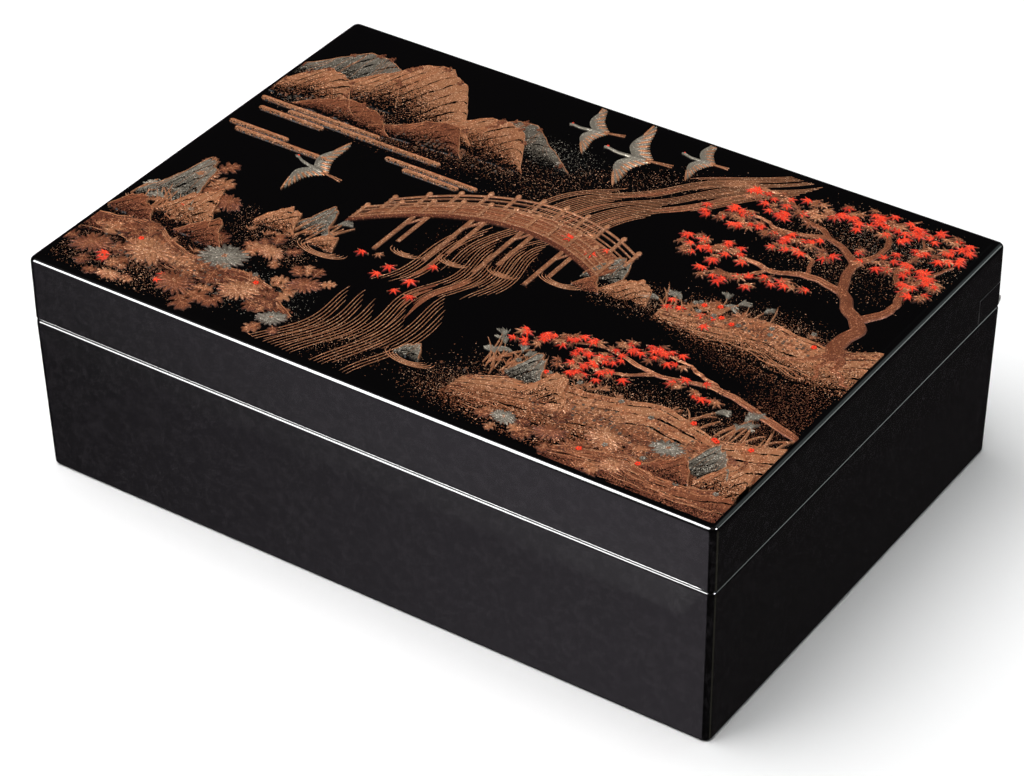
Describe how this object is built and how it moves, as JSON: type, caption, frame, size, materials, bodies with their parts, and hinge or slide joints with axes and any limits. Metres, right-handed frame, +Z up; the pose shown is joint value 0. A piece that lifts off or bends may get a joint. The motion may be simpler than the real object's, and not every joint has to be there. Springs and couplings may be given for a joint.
{
  "type": "lacquer accessory box",
  "caption": "Hollow black lacquered box with a hinged lid, a raised gold-lacquer picture on its top, and a continuous metal hinge let into a rail at the rear.",
  "frame": {"origin": "middle of the underside of the box body", "axes": "+X along the long front side to the right, +Y from the front to the hinged rear, +Z up"},
  "size_m": [0.23, 0.1627, 0.0735],
  "materials": {
    "black_lacquer": "polished black lacquer over a moulded wood core",
    "hinge_steel": "nickel-plated, dull",
    "raised_gold": "raised lacquer dusted with gold powder",
    "red_gold": "raised lacquer dusted with copper-red powder",
    "silver_grey": "raised lacquer dusted with silver powder",
    "vermilion": "raised vermilion lacquer"
  },
  "bodies": {
    "box": {"box_body": "black_lacquer", "hinge_leaf_box": "hinge_steel", "hinge_pin": "hinge_steel"},
    "lid": {"lid": "black_lacquer", "hinge_rail": "black_lacquer", "hinge_leaf_lid": "hinge_steel"}
  },
  "joints": [
    {"name": "lid_hinge", "type": "hinge", "parent": "box", "child": "lid", "pos_m": [0, 0.0812, 0.05215], "axis": [-1, 0, 0], "range_deg": [0, 100]}
  ]
}
